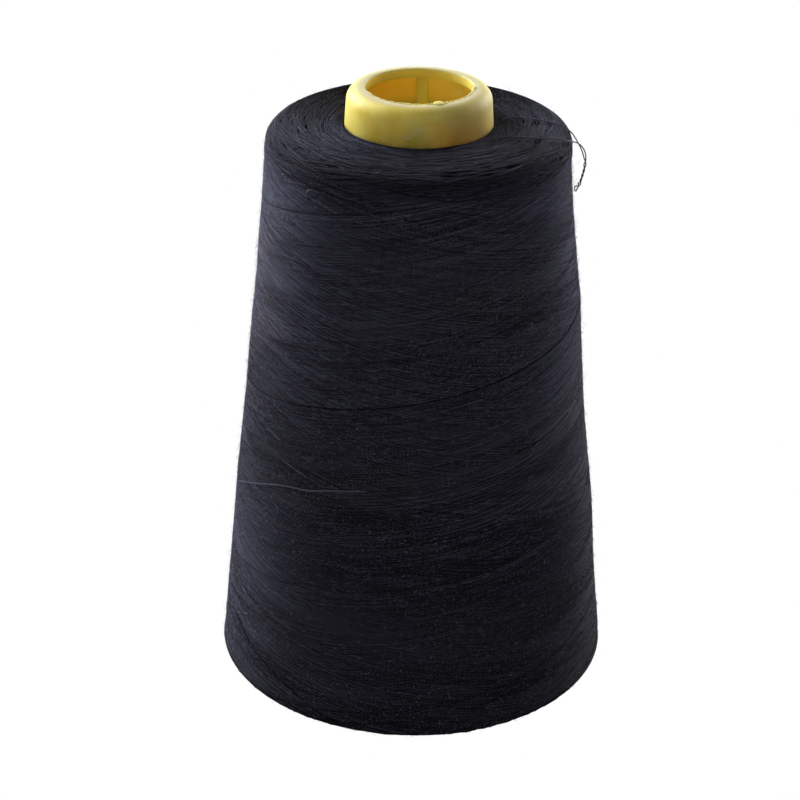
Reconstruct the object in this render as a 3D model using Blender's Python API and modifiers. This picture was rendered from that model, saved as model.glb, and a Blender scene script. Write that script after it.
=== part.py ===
# Cone of sewing thread: a moulded tapered core, the thread wound on it, and one
# loose snarl of the thread that lies over the top and hangs beside the shoulder.
# Units are metres and +Z is up. The origin is the centre of the core's foot, on the surface
# that the cone stands on.
import math

import bmesh
import bpy
from mathutils import Matrix, Vector

PART_NAME = "thread_cone"
MM = 0.001
ROUND_STEPS = 60            # facets round each turned piece
MERGE_DISTANCE = 0.00002    # joins the first and last turn of a turned piece
CLEARANCE = 0.3 * MM        # space that keeps neighbouring pieces apart

# Core: a tapered tube with a thick, rounded nose
CORE_HEIGHT = 170.0 * MM
CORE_HALF_ANGLE = math.radians(3.85)
NOSE_RADIUS = 18.8 * MM     # outside, at the foot of the nose rounding
NOSE_ROUNDING = 3.6 * MM
NOSE_ARC_STEPS = 7
BORE_RADIUS = 13.9 * MM     # inside the lip of the nose
BORE_EDGE = 0.4 * MM        # bevel where the bore meets the flat of the nose
LIP_HEIGHT = 2.6 * MM       # the lip is this deep before the bore widens
LIP_SLOPE = 0.5 * MM        # the lip's underside falls this far towards the wall
CORE_WALL = 1.6 * MM
FOOT_WALL = 2.4 * MM        # the wall is thicker at the foot
FOOT_HEIGHT = 5.0 * MM
FOOT_EDGE = 0.5 * MM

# Ribs inside the core, and the moulding nub on its lip
RIB_COUNT = 4
RIB_TURN = math.radians(-2.5)   # the ribs stand a little off the core's axes
RIB_WIDTH = 2.8 * MM
RIB_DEPTH = 1.6 * MM            # how far a rib stands out of the wall
RIB_ROOT = 0.8 * MM             # how far it is sunk into the wall
RIB_FOOT = 8.0 * MM             # height of its lower end
NUB_RADIUS = 1.4 * MM
NUB_HEIGHT = 1.3 * MM
NUB_DROP = 0.1 * MM             # its top is this far below the flat of the nose
NUB_SEAT = 13.6 * MM            # distance of its centre from the axis
NUB_TURN = math.radians(-69.0)

# Wound thread, from its lower edge to its shoulder. The lays give it a slight swell.
WIND_SECTIONS = (
    # height_mm, radius_mm
    (8.0, 53.6),
    (30.0, 51.5),
    (58.0, 48.9),
    (85.0, 45.9),
    (111.0, 43.5),
    (135.0, 41.0),
    (154.0, 39.5),
)
SIDE_STEPS = 3              # facets between two sections
WIND_TOP = 160.5 * MM       # highest point of the crown
WIND_BOTTOM = 4.1 * MM      # flat underside
CROWN_RADIUS = 25.0 * MM    # where the crown is highest
CROWN_POWER = 3.0           # 2 is an ellipse, more is squarer
CROWN_STEPS = 9
CORE_SEAT = 160.2 * MM      # the crown dips to this height at the core
EDGE_WIDTH = 9.3 * MM       # how far the rounding of the lower edge reaches in
EDGE_POWER = 2.2
EDGE_STEPS = 6

# Loose thread: the doubled end of a turn that was pulled out of the winding
THREAD_DIAMETER = 0.36 * MM
SPAN_STEPS = 2              # points on the tube for each span of the route
LOOSE_ROUTE = (
    # x_mm, y_mm, z_mm
    # out of the winding beside the core and across the crown
    (21.8, 0.8, 161.0),
    (23.8, 2.7, 161.1),
    (26.8, 2.3, 161.1),
    (30.2, 1.3, 161.0),
    (33.8, 0.5, 160.6),
    (37.0, 0.2, 159.7),
    # off the shoulder and down beside it
    (39.4, 0.3, 157.9),
    (41.0, 0.6, 155.4),
    (42.2, 0.7, 153.1),
    (42.9, 0.7, 151.0),
    (43.2, 0.7, 149.1),
    (42.9, 0.8, 147.1),
    (42.4, 1.1, 145.2),
    (41.9, 1.9, 143.5),
    (41.5, 3.1, 142.3),
    # the fold at the tip
    (41.2, 4.4, 141.6),
    (41.2, 4.6, 140.8),
    (41.3, 3.8, 140.5),
    # back up, a little in front
    (41.6, 2.3, 141.3),
    (41.9, 0.8, 142.6),
    (42.3, -0.2, 144.3),
    (42.7, -0.6, 146.4),
    (43.1, -0.7, 148.6),
    (43.3, -0.8, 150.8),
    (43.1, -0.9, 152.8),
    (42.2, -1.5, 154.7),
    (40.9, -3.3, 156.4),
    # across the crown again and into the winding in front of the core
    (39.3, -5.8, 157.8),
    (37.9, -8.0, 158.8),
    (35.8, -9.8, 159.9),
    (32.9, -11.3, 160.6),
    (29.2, -12.3, 161.0),
    (25.8, -12.3, 161.1),
    (22.6, -12.2, 161.1),
    (19.4, -13.1, 161.0),
    (17.0, -13.8, 161.0),
)


def clear_scene():
    for item in list(bpy.data.objects):
        bpy.data.objects.remove(item, do_unlink=True)


def make_collection(name):
    collection = bpy.data.collections.new(name)
    bpy.context.scene.collection.children.link(collection)
    return collection


def make_material(name, color, roughness, transmission=0.0):
    material = bpy.data.materials.new(name)
    material.use_nodes = True
    shader = material.node_tree.nodes["Principled BSDF"]
    shader.inputs["Base Color"].default_value = (*color, 1.0)
    shader.inputs["Roughness"].default_value = roughness
    shader.inputs["Metallic"].default_value = 0.0
    shader.inputs["Transmission Weight"].default_value = transmission
    return material


def superellipse(center, width, height, power, steps, start, end):
    """Points (radius, height) on a quarter round of the given squareness."""
    points = []
    for step in range(steps + 1):
        angle = start + (end - start) * step / steps
        across = math.copysign(abs(math.cos(angle)) ** (2 / power), math.cos(angle))
        along = math.copysign(abs(math.sin(angle)) ** (2 / power), math.sin(angle))
        points.append((center[0] + width * across, center[1] + height * along))
    return points


def smooth_curve(points, steps):
    """Catmull-Rom curve through the points, with the given steps in each span."""
    ends = [points[0] * 2 - points[1], *points, points[-1] * 2 - points[-2]]
    curve = []
    for index in range(1, len(ends) - 2):
        before, start, end, after = ends[index - 1:index + 3]
        for step in range(steps):
            t = step / steps
            bend = before * -1 + start * 3 - end * 3 + after
            lean = before * 2 - start * 5 + end * 4 - after
            rise = end - before
            curve.append(start + (rise * t + lean * t ** 2 + bend * t ** 3) * 0.5)
    curve.append(points[-1])
    return curve


def turned_piece(name, profile, material, collection):
    """A closed (radius, height) profile turned about Z. It runs down its outer side."""
    mesh = bpy.data.meshes.new(name)
    corners = [(radius, 0.0, height) for radius, height in profile]
    count = len(corners)
    edges = [(index, (index + 1) % count) for index in range(count)]
    mesh.from_pydata(corners, edges, [])
    mesh.materials.append(material)
    piece = bpy.data.objects.new(name, mesh)
    collection.objects.link(piece)
    screw = piece.modifiers.new("Turn", "SCREW")
    screw.axis = "Z"
    screw.angle = math.tau
    screw.steps = ROUND_STEPS
    screw.render_steps = ROUND_STEPS
    screw.use_merge_vertices = True
    screw.merge_threshold = MERGE_DISTANCE
    screw.use_smooth_shade = True
    return piece


def core_radius(height):
    """Outside radius of the core's straight taper."""
    return NOSE_RADIUS + (CORE_HEIGHT - NOSE_ROUNDING - height) * math.tan(CORE_HALF_ANGLE)


def core_profile():
    nose_center = CORE_HEIGHT - NOSE_ROUNDING
    profile = [(BORE_RADIUS + BORE_EDGE, CORE_HEIGHT)]
    profile += superellipse(
        (NOSE_RADIUS - NOSE_ROUNDING, nose_center), NOSE_ROUNDING, NOSE_ROUNDING, 2.0,
        NOSE_ARC_STEPS, math.pi / 2, 0.0,
    )
    profile.append((core_radius(FOOT_EDGE), FOOT_EDGE))
    profile.append((core_radius(0.0) - FOOT_EDGE, 0.0))
    profile.append((core_radius(0.0) - FOOT_WALL, 0.0))
    profile.append((core_radius(FOOT_HEIGHT) - FOOT_WALL, FOOT_HEIGHT))
    profile.append((core_radius(FOOT_HEIGHT) - CORE_WALL, FOOT_HEIGHT + FOOT_WALL - CORE_WALL))
    lip_bottom = CORE_HEIGHT - LIP_HEIGHT
    profile.append((core_radius(nose_center) - CORE_WALL, lip_bottom - LIP_SLOPE))
    profile.append((BORE_RADIUS, lip_bottom))
    profile.append((BORE_RADIUS, CORE_HEIGHT - BORE_EDGE))
    return profile


def helper_object(name, mesh, collection):
    """A shape that only joins another piece: it isn't a piece of its own."""
    helper = bpy.data.objects.new(name, mesh)
    helper.display_type = "WIRE"
    helper.hide_render = True
    collection.objects.link(helper)
    return helper


def join_helper(piece, helper):
    union = piece.modifiers.new("Join " + helper.name, "BOOLEAN")
    union.operation = "UNION"
    union.solver = "EXACT"
    union.object = helper


def add_ribs(core, helpers):
    """Long ribs down the inside of the core, sunk into its wall and its lip."""
    top = CORE_HEIGHT - LIP_HEIGHT + LIP_SLOPE
    middle = (top + RIB_FOOT) / 2
    size = (RIB_DEPTH + RIB_ROOT, RIB_WIDTH, (top - RIB_FOOT) / math.cos(CORE_HALF_ANGLE))
    inner_face = core_radius(middle) - CORE_WALL
    seat = inner_face + RIB_ROOT - size[0] / 2
    for index in range(RIB_COUNT):
        mesh = bpy.data.meshes.new(f"rib_{index}")
        shape = bmesh.new()
        bmesh.ops.create_cube(shape, size=1.0, matrix=Matrix.Diagonal((*size, 1.0)))
        shape.to_mesh(mesh)
        shape.free()
        rib = helper_object(f"rib_{index}", mesh, helpers)
        turn = math.tau * index / RIB_COUNT + RIB_TURN
        rib.location = (seat * math.cos(turn), seat * math.sin(turn), middle)
        rib.rotation_euler = (0.0, -CORE_HALF_ANGLE, turn)
        join_helper(core, rib)


def add_nub(core, helpers):
    """The small round gate mark that the moulding leaves on the lip."""
    mesh = bpy.data.meshes.new("nub")
    shape = bmesh.new()
    bmesh.ops.create_cone(
        shape, cap_ends=True, segments=16, radius1=NUB_RADIUS, radius2=NUB_RADIUS,
        depth=NUB_HEIGHT,
    )
    shape.to_mesh(mesh)
    shape.free()
    nub = helper_object("nub", mesh, helpers)
    nub.location = (
        NUB_SEAT * math.cos(NUB_TURN),
        NUB_SEAT * math.sin(NUB_TURN),
        CORE_HEIGHT - NUB_DROP - NUB_HEIGHT / 2,
    )
    join_helper(core, nub)


def make_core(collection, helpers):
    plastic = make_material("core_plastic", (0.72, 0.52, 0.10), 0.42, 0.1)
    core = turned_piece("core", core_profile(), plastic, collection)
    add_ribs(core, helpers)
    add_nub(core, helpers)
    return core


def wound_profile():
    sections = [Vector((radius * MM, height * MM)) for height, radius in WIND_SECTIONS]
    side = [tuple(point) for point in reversed(smooth_curve(sections, SIDE_STEPS))]
    shoulder_radius, shoulder_height = side[0]
    edge_radius, edge_height = side[-1]
    crown = superellipse(
        (CROWN_RADIUS, shoulder_height), shoulder_radius - CROWN_RADIUS,
        WIND_TOP - shoulder_height, CROWN_POWER, CROWN_STEPS, math.pi / 2, 0.0,
    )
    lower_edge = superellipse(
        (edge_radius - EDGE_WIDTH, edge_height), EDGE_WIDTH, edge_height - WIND_BOTTOM,
        EDGE_POWER, EDGE_STEPS, 0.0, -math.pi / 2,
    )
    side_gap = CLEARANCE / math.cos(CORE_HALF_ANGLE)
    profile = [(core_radius(CORE_SEAT) + side_gap, CORE_SEAT)]
    profile += crown + side[1:-1] + lower_edge
    profile.append((core_radius(WIND_BOTTOM) + side_gap, WIND_BOTTOM))
    return profile


def make_wound_thread(collection):
    thread = make_material("wound_thread", (0.018, 0.017, 0.028), 0.9)
    return turned_piece("wound_thread", wound_profile(), thread, collection)


def make_loose_end(collection):
    thread = make_material("loose_thread", (0.05, 0.045, 0.05), 0.9)
    route = [Vector(point) * MM for point in LOOSE_ROUTE]
    points = smooth_curve(route, SPAN_STEPS)
    curve = bpy.data.curves.new("loose_end", "CURVE")
    curve.dimensions = "3D"
    curve.bevel_depth = THREAD_DIAMETER / 2
    curve.bevel_resolution = 2
    curve.use_fill_caps = True
    spline = curve.splines.new("POLY")
    spline.points.add(len(points) - 1)
    for spline_point, point in zip(spline.points, points):
        spline_point.co = (*point, 1.0)
    curve.materials.append(thread)
    loose_end = bpy.data.objects.new("loose_end", curve)
    collection.objects.link(loose_end)
    return loose_end


def main():
    clear_scene()
    parts = make_collection(PART_NAME)
    helpers = make_collection("helpers")
    make_core(parts, helpers)
    make_wound_thread(parts)
    make_loose_end(parts)


main()
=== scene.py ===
import math

import bpy
import numpy as np
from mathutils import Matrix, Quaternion, Vector


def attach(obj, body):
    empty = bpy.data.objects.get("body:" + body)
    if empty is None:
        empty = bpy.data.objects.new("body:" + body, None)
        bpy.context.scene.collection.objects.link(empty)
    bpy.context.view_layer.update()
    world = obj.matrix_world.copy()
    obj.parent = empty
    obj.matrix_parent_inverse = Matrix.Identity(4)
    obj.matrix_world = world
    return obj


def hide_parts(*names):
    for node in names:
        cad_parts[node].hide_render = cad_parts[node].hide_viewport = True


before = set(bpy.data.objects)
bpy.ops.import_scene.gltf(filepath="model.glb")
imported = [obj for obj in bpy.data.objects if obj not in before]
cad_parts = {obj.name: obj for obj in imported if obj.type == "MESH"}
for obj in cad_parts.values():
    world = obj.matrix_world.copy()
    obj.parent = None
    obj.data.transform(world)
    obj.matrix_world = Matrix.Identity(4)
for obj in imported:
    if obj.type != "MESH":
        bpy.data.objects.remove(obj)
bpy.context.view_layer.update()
print("frame loaded")

mm = 0.001
rng = np.random.default_rng(41)


def deselectAll():
    if bpy.context.mode != "OBJECT":
        bpy.ops.object.mode_set(mode="OBJECT")
    bpy.ops.object.select_all(action="DESELECT")


def pick(obj):
    deselectAll()
    obj.select_set(True)
    bpy.context.view_layer.objects.active = obj


def smoothStep(low, high, value):
    t = np.clip((value - low) / (high - low), 0.0, 1.0)
    return t * t * (3 - 2 * t)


def storeValues(mesh, layers):      # numbers kept on the points, for the materials to read
    for label, values in layers:
        layer = mesh.attributes.new(label, "FLOAT", "POINT")
        layer.data.foreach_set("value", values.astype(np.float32))


def newMaterial(name):
    material = bpy.data.materials.new(name)
    material.use_nodes = True
    tree = material.node_tree
    return material, tree, tree.nodes["Principled BSDF"]


def addNode(tree, kind, **values):
    node = tree.nodes.new(kind)
    for key, value in values.items():
        if hasattr(node, key):
            setattr(node, key, value)
        else:
            node.inputs[key].default_value = value
    return node


def feed(tree, value, socket):
    if isinstance(value, bpy.types.NodeSocket):
        tree.links.new(value, socket)
    elif isinstance(value, tuple) and len(value) == 3 and len(socket.default_value) == 4:
        socket.default_value = (*value, 1)
    else:
        socket.default_value = value


def mapRange(tree, value, low, high, newLow=0.0, newHigh=1.0, kind="SMOOTHSTEP"):
    node = addNode(tree, "ShaderNodeMapRange", interpolation_type=kind)
    names = ("Value", "From Min", "From Max", "To Min", "To Max")
    for name, item in zip(names, (value, low, high, newLow, newHigh)):
        feed(tree, item, node.inputs[name])
    return node.outputs["Result"]


def mixValues(tree, factor, first, second, kind="RGBA"):
    node = addNode(tree, "ShaderNodeMix", data_type=kind)
    for name, item in (("Factor", factor), ("A", first), ("B", second)):
        feed(tree, item, node.inputs[name])
    return node.outputs["Result"]


def calculate(tree, operation, first, second=0.0):
    node = addNode(tree, "ShaderNodeMath", operation=operation)
    feed(tree, first, node.inputs[0])
    feed(tree, second, node.inputs[1])
    return node.outputs[0]


def noiseAt(tree, place, scale, detail=2.0):
    node = addNode(tree, "ShaderNodeTexNoise", Scale=scale, Detail=detail)
    tree.links.new(place, node.inputs["Vector"])
    return node.outputs["Fac"]


cameraLook = {
    "place": (0.0, -0.5353, 0.3551),
    "aim": (-0.0040, 0.0, 0.0799),
    "lens": 98.9,
    "rollDegrees": 0.7,
}
studio = {
    "backdrop": 1.0,             # the plain white that the camera sees
    "frontGlow": 0.22,           # strength of the white tent in front, behind and above
    "backGlow": 1.45,
    "topGlow": 0.50,
    "leftShare": 1.55,           # how much more or less the tent gives from each side
    "rightShare": 0.50,
    "tentColor": (0.97, 0.98, 1.0, 1),
    "floorSize": 6.0,
    "paperColor": (0.9, 0.9, 0.9, 1),
    "paperSpill": 0.15,          # glow that the paper throws on the cone
    "lightAim": (0, 0, 0.09),
    # name: place, size, power, color
    "lights": {
        "leftBack": ((-0.72, 0.58, 0.56), 0.6, 21.0, (0.92, 0.94, 1.0)),
        "rightBack": ((0.64, 0.74, 0.36), 0.6, 9.0, (1.0, 0.98, 0.97)),
    },
}


def addCamera():
    bpy.ops.object.camera_add(location=cameraLook["place"])
    camera = bpy.context.object
    camera.name = "camera"
    camera.data.lens = cameraLook["lens"]
    camera.data.clip_start = 0.01
    look = Vector(cameraLook["aim"]) - Vector(cameraLook["place"])
    roll = Quaternion((0, 0, 1), math.radians(cameraLook["rollDegrees"]))
    camera.rotation_mode = "QUATERNION"
    camera.rotation_quaternion = look.to_track_quat("-Z", "Y") @ roll
    bpy.context.scene.camera = camera
    bpy.context.scene.view_settings.view_transform = "Standard"


def whiteToCamera(tree, kind, lit):      # the camera sees plain white, all else what is lit
    white = addNode(tree, kind, Color=(1, 1, 1, 1), Strength=studio["backdrop"])
    seen = addNode(tree, "ShaderNodeLightPath")
    choose = addNode(tree, "ShaderNodeMixShader")
    tree.links.new(seen.outputs["Is Camera Ray"], choose.inputs[0])
    tree.links.new(lit, choose.inputs[1])
    tree.links.new(white.outputs[0], choose.inputs[2])
    return choose.outputs[0]


def addWorld():
    world = bpy.data.worlds.new("tent")
    bpy.context.scene.world = world
    world.use_nodes = True
    tree = world.node_tree
    glow = tree.nodes["Background"]
    place = addNode(tree, "ShaderNodeTexCoord")
    split = addNode(tree, "ShaderNodeSeparateXYZ")
    tree.links.new(place.outputs["Generated"], split.inputs[0])
    backward = mapRange(tree, split.outputs["Y"], -0.2, 0.8, studio["frontGlow"], studio["backGlow"])
    upward = mapRange(tree, split.outputs["Z"], 0.2, 1.0)
    level = mixValues(tree, upward, backward, studio["topGlow"], "FLOAT")
    sides = (studio["leftShare"], studio["rightShare"])
    sideways = mapRange(tree, split.outputs["X"], -1.0, 1.0, *sides, "LINEAR")
    tree.links.new(calculate(tree, "MULTIPLY", level, sideways), glow.inputs["Strength"])
    glow.inputs["Color"].default_value = studio["tentColor"]
    shown = whiteToCamera(tree, "ShaderNodeBackground", glow.outputs[0])
    tree.links.new(shown, tree.nodes["World Output"].inputs["Surface"])


def addLight(name, place, size, power, color):
    bpy.ops.object.light_add(type="AREA", location=place)
    light = bpy.context.object
    light.name = name
    light.data.shape = "DISK"
    light.data.size = size
    light.data.energy = power
    light.data.color = color
    aim = Vector(studio["lightAim"]) - Vector(place)
    light.rotation_mode = "QUATERNION"
    light.rotation_quaternion = aim.to_track_quat("-Z", "Y")


def addFloor():
    bpy.ops.mesh.primitive_plane_add(size=studio["floorSize"], location=(0, 0, 0))
    floor = bpy.context.object
    floor.name = "floor"
    material, tree, shader = newMaterial("palePaper")
    shader.inputs["Base Color"].default_value = studio["paperColor"]
    shader.inputs["Roughness"].default_value = 0.9
    shader.inputs["Emission Color"].default_value = (1, 1, 1, 1)
    shader.inputs["Emission Strength"].default_value = studio["paperSpill"]
    shown = whiteToCamera(tree, "ShaderNodeEmission", shader.outputs[0])
    tree.links.new(shown, tree.nodes["Material Output"].inputs["Surface"])
    floor.data.materials.append(material)


addCamera()
addWorld()
for name, values in studio["lights"].items():
    addLight(name, *values)
addFloor()
print("camera, light and floor are up")

looseThread = {
    "diameter": 0.36 * mm,
    "plies": 3,
    "plyTwist": 1.0 * mm,        # length of one turn of the plies
    "groove": 0.17,              # depth of the grooves between them, as a share of the radius
    "sides": 18,
    "pointGap": 0.16 * mm,
    "twistTop": 151.2 * mm,      # below this height the two runs are wound together
    "twistPitch": 2.8 * mm,
    "twistRunIn": 2.4 * mm,      # over which the twist gathers
    "twistReach": 0.52,          # of each run from their middle line, in diameters
    "eyes": ((0.62, 0.28 * mm), (0.80, 0.30 * mm)),      # place as a share, extra reach
    "eyeLength": 0.035,
    "fold": (3.4 * mm, 1.2 * mm),      # before the tip, where the twist gives way to the fold
    "softening": 4,              # passes that ease the sharpest bends
    "color": (0.030, 0.025, 0.030, 1),
    "sheen": 0.5,
    "tint": (0.70, 0.68, 0.95, 1),
}
looseRoute = (
    # x, y, z in mm: out of the winding beside the core and across the crown
    (21.8, 0.8, 161.0), (23.8, 2.7, 161.1), (26.8, 2.3, 161.1), (30.2, 1.3, 161.0),
    (33.8, 0.5, 160.6), (37.0, 0.2, 159.7),
    # off the shoulder and down beside it
    (39.4, 0.3, 157.9), (41.0, 0.6, 155.4), (42.2, 0.7, 153.1), (42.9, 0.7, 151.0),
    (43.2, 0.7, 149.1), (42.9, 0.8, 147.1), (42.4, 1.1, 145.2), (41.9, 1.9, 143.5),
    (41.5, 3.1, 142.3),
    # the fold at the tip
    (41.2, 4.4, 141.6), (41.2, 4.6, 140.8), (41.3, 3.8, 140.5),
    # back up, a little in front
    (41.6, 2.3, 141.3), (41.9, 0.8, 142.6), (42.3, -0.2, 144.3), (42.7, -0.6, 146.4),
    (43.1, -0.7, 148.6), (43.3, -0.8, 150.8), (43.1, -0.9, 152.8), (42.2, -1.5, 154.7),
    (40.9, -3.3, 156.4),
    # across the crown again and into the winding in front of the core
    (39.3, -5.8, 157.8), (37.9, -8.0, 158.8), (35.8, -9.8, 159.9), (32.9, -11.3, 160.6),
    (29.2, -12.3, 161.0), (25.8, -12.3, 161.1), (22.6, -12.2, 161.1), (19.4, -13.1, 161.0),
    (17.0, -13.8, 161.0),
)


def smoothCurve(points, steps):
    points = np.asarray(points, float)
    ends = np.vstack([2 * points[0] - points[1], points, 2 * points[-1] - points[-2]])
    t = (np.arange(steps) / steps)[:, None]
    spans = []
    for before, start, end, after in zip(ends, ends[1:], ends[2:], ends[3:]):
        bend = -before + 3 * start - 3 * end + after
        lean = 2 * before - 5 * start + 4 * end - after
        spans.append(start + 0.5 * ((end - before) * t + lean * t ** 2 + bend * t ** 3))
    return np.vstack([*spans, points[-1:]])


def alongPath(points):      # length of the path from its start to each point
    return np.concatenate([[0], np.cumsum(np.linalg.norm(np.diff(points, axis=0), axis=1))])


def evenPoints(points, gap):
    along = alongPath(points)
    count = max(2, int(round(along[-1] / gap)) + 1)
    targets = np.linspace(0, along[-1], count)
    return np.stack([np.interp(targets, along, points[:, k]) for k in range(3)], axis=1)


def sideVectors(points):
    tangents = np.gradient(points, axis=0)
    tangents /= np.linalg.norm(tangents, axis=1)[:, None]
    side = np.cross(tangents[0], (0.0, 0.0, 1.0))
    side /= np.linalg.norm(side)
    sides = []
    for tangent in tangents:
        side = side - tangent * np.dot(side, tangent)
        side /= np.linalg.norm(side)
        sides.append(side)
    sides = np.array(sides)
    return sides, np.cross(tangents, sides)


def plySection(sides, lobes=0, groove=0.0):      # ring of unit width, with a lobe for each ply
    ring = bpy.data.curves.new("section", "CURVE")
    ring.dimensions = "2D"
    spline = ring.splines.new("POLY")
    spline.points.add(sides - 1)
    for index, point in enumerate(spline.points):
        turn = math.tau * index / sides
        reach = 0.5 * (1 - groove + groove * abs(math.cos(turn * lobes / 2))) if lobes else 0.5
        point.co = (reach * math.cos(turn), reach * math.sin(turn), 0, 1)
    spline.use_cyclic_u = True
    section = bpy.data.objects.new("section", ring)
    bpy.context.scene.collection.objects.link(section)
    return section


def windStrands(name, runs, sides=3, section=None):
    # a run is its points, its widths and, where its section turns, the turn at each point
    section = section or plySection(sides)
    curve = bpy.data.curves.new(name, "CURVE")
    curve.dimensions = "3D"
    curve.twist_mode = "MINIMUM"
    curve.bevel_mode = "OBJECT"
    curve.bevel_object = section
    lengths, counts = [], []
    for points, radii, *tilt in runs:
        spline = curve.splines.new("POLY")
        count = len(points)
        spline.points.add(count - 1)
        spline.points.foreach_set("co", np.column_stack([points, np.ones(count)]).ravel())
        radii = np.array(radii, float)
        radii[0] = radii[-1] = 0
        spline.points.foreach_set("radius", radii)
        if tilt:
            spline.points.foreach_set("tilt", tilt[0])
        lengths.append(rng.random() * 0.01 + alongPath(points))
        counts.append(count)
    piece = bpy.data.objects.new(name, curve)
    bpy.context.scene.collection.objects.link(piece)
    pick(piece)
    bpy.ops.object.convert(target="MESH")
    piece = bpy.context.object
    bpy.data.objects.remove(section)
    mesh = piece.data
    along = np.repeat(np.concatenate(lengths), sides)
    tone = np.repeat(rng.random(len(runs)), np.array(counts) * sides)
    storeValues(mesh, (("along", along), ("tone", tone)))
    bpy.ops.object.mode_set(mode="EDIT")
    bpy.ops.mesh.select_all(action="SELECT")
    bpy.ops.mesh.remove_doubles(threshold=0.0000005)
    bpy.ops.object.mode_set(mode="OBJECT")
    bpy.ops.object.shade_smooth()
    triangles = sum(len(p.vertices) - 2 for p in mesh.polygons)
    print(name, len(runs), "runs", triangles, "triangles")
    return piece


def looseCentre():
    route = smoothCurve(looseRoute, 12) * mm
    route = evenPoints(route, looseThread["pointGap"])
    return route, np.argmin(route[:, 2])


def twistRuns(route, tip):      # below the top of the twist the two runs swing round their middle line
    down = route[:tip + 1]
    back = route[tip:][::-1]
    top = looseThread["twistTop"]
    # both runs begin in the winding, so the search for the twist starts out on the crown
    startDown = np.argmax((down[:, 2] < top) & (np.arange(len(down)) > len(down) // 2))
    startBack = np.argmax((back[:, 2] < top) & (np.arange(len(back)) > len(back) // 3))
    lowDown, lowBack = down[startDown:], back[startBack:]
    count = max(len(lowDown), len(lowBack))
    even = np.linspace(0, 1, count)

    def spread(points):
        old = np.linspace(0, 1, len(points))
        return np.stack([np.interp(even, old, points[:, k]) for k in range(3)], axis=1)

    lowDown, lowBack = spread(lowDown), spread(lowBack)
    middle = (lowDown + lowBack) / 2
    apart = (lowDown - lowBack) / 2
    along = alongPath(middle)
    across, over = sideVectors(middle)
    firstTurn = math.atan2(np.dot(apart[0], over[0]), np.dot(apart[0], across[0]))
    runIn = looseThread["twistRunIn"]
    wound = np.where(along < runIn, along ** 2 / (2 * runIn), along - runIn / 2)
    turn = firstTurn + math.tau * wound / looseThread["twistPitch"]
    total = along[-1]
    reach = np.full(count, looseThread["twistReach"] * looseThread["diameter"])
    for place, size in looseThread["eyes"]:
        reach += size * np.exp(-((along / total - place) / looseThread["eyeLength"]) ** 2)
    ease = smoothStep(0.0, runIn, along)
    reach = np.linalg.norm(apart[0]) * (1 - ease) + reach * ease
    swing = (np.cos(turn)[:, None] * across + np.sin(turn)[:, None] * over) * reach[:, None]
    foldFrom, foldBy = looseThread["fold"]
    fold = smoothStep(total - foldFrom, total - foldBy, along)[:, None]
    newDown = (middle + swing) * (1 - fold) + lowDown * fold
    newBack = (middle - swing) * (1 - fold) + lowBack * fold
    whole = np.vstack([down[:startDown], newDown, newBack[::-1][1:], back[:startBack][::-1]])
    for _ in range(looseThread["softening"]):
        whole[1:-1] = (whole[:-2] + 2 * whole[1:-1] + whole[2:]) / 4
    return evenPoints(whole, looseThread["pointGap"])


def makeLooseThread():
    route, tip = looseCentre()
    centre = twistRuns(route, tip)
    turn = math.tau * np.arange(len(centre)) * looseThread["pointGap"] / looseThread["plyTwist"]
    radii = np.full(len(centre), looseThread["diameter"])
    sides = looseThread["sides"]
    section = plySection(sides, looseThread["plies"], looseThread["groove"])
    piece = windStrands("loose_thread", [(centre, radii, turn)], sides, section)
    piece.data.materials.append(looseMaterial())
    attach(piece, "root")
    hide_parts("loose_end")


def looseMaterial():
    material, _, shader = newMaterial("looseThread")
    shader.inputs["Base Color"].default_value = looseThread["color"]
    shader.inputs["Roughness"].default_value = 0.8
    shader.inputs["Sheen Weight"].default_value = looseThread["sheen"]
    shader.inputs["Sheen Tint"].default_value = looseThread["tint"]
    return material


makeLooseThread()


winding = {
    "rise": 0.1437,              # mm along the surface for each degree round
    "pitch": 51.7,               # mm between turns of one strand
    "spacing": 0.36,             # mm between strands side by side
    "strandWidth": 0.42 * mm,
    "pointStep": 5.0,            # degrees between points of a strand
    "lowEnd": (3.0, -2.5, 2.5),      # mm above the foot where strands turn back, and its spread
    "highEnd": (157.5, -3.5, 2.5),
    "overrun": 2.2,              # mm that a strand runs on past its end as it dives in
    "turnBack": 1.1,             # mm, how round the turn at each end is
    "lift": (-0.34, 0.26, 0.5),      # mm: lowest strands, what the highest add, dive at the ends
    "newerShare": 0.24,          # parts of a strand's level: newer ribbons, slow wander, chance
    "wanderShare": 0.40,
    "chanceShare": 0.12,
    "wanderWave": 34,            # degrees
    "shownAbove": 0.12,          # the level below which a strand is covered and left out
    "bodySteps": 120,
    "bodyDepth": 0.42,           # mm under the outer surface
}
# edges of the newest ribbons, in mm above the foot at the front
risingEdges = (49.7, 27.5, 14.6, 38.5)
fallingEdges = (12.2, 29.4, 46.5)
swells = (
    # turn in degrees, height in mm, reach in degrees and in mm, lift in mm
    (85, 111, 45, 9, 0.30), (85, 83, 45, 6, -0.15), (85, 55, 45, 9, 0.20),
    (85, 35, 40, 6, -0.10), (85, 15, 40, 6, 0.15), (-85, 130, 45, 6, 0.15),
    (-85, 120, 40, 4, -0.22), (-85, 112, 40, 5, -0.15), (-85, 95, 40, 8, 0.10),
    (-82, 68, 40, 5, -0.18), (170, 120, 60, 9, 0.30), (150, 60, 50, 8, -0.25),
)


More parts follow.
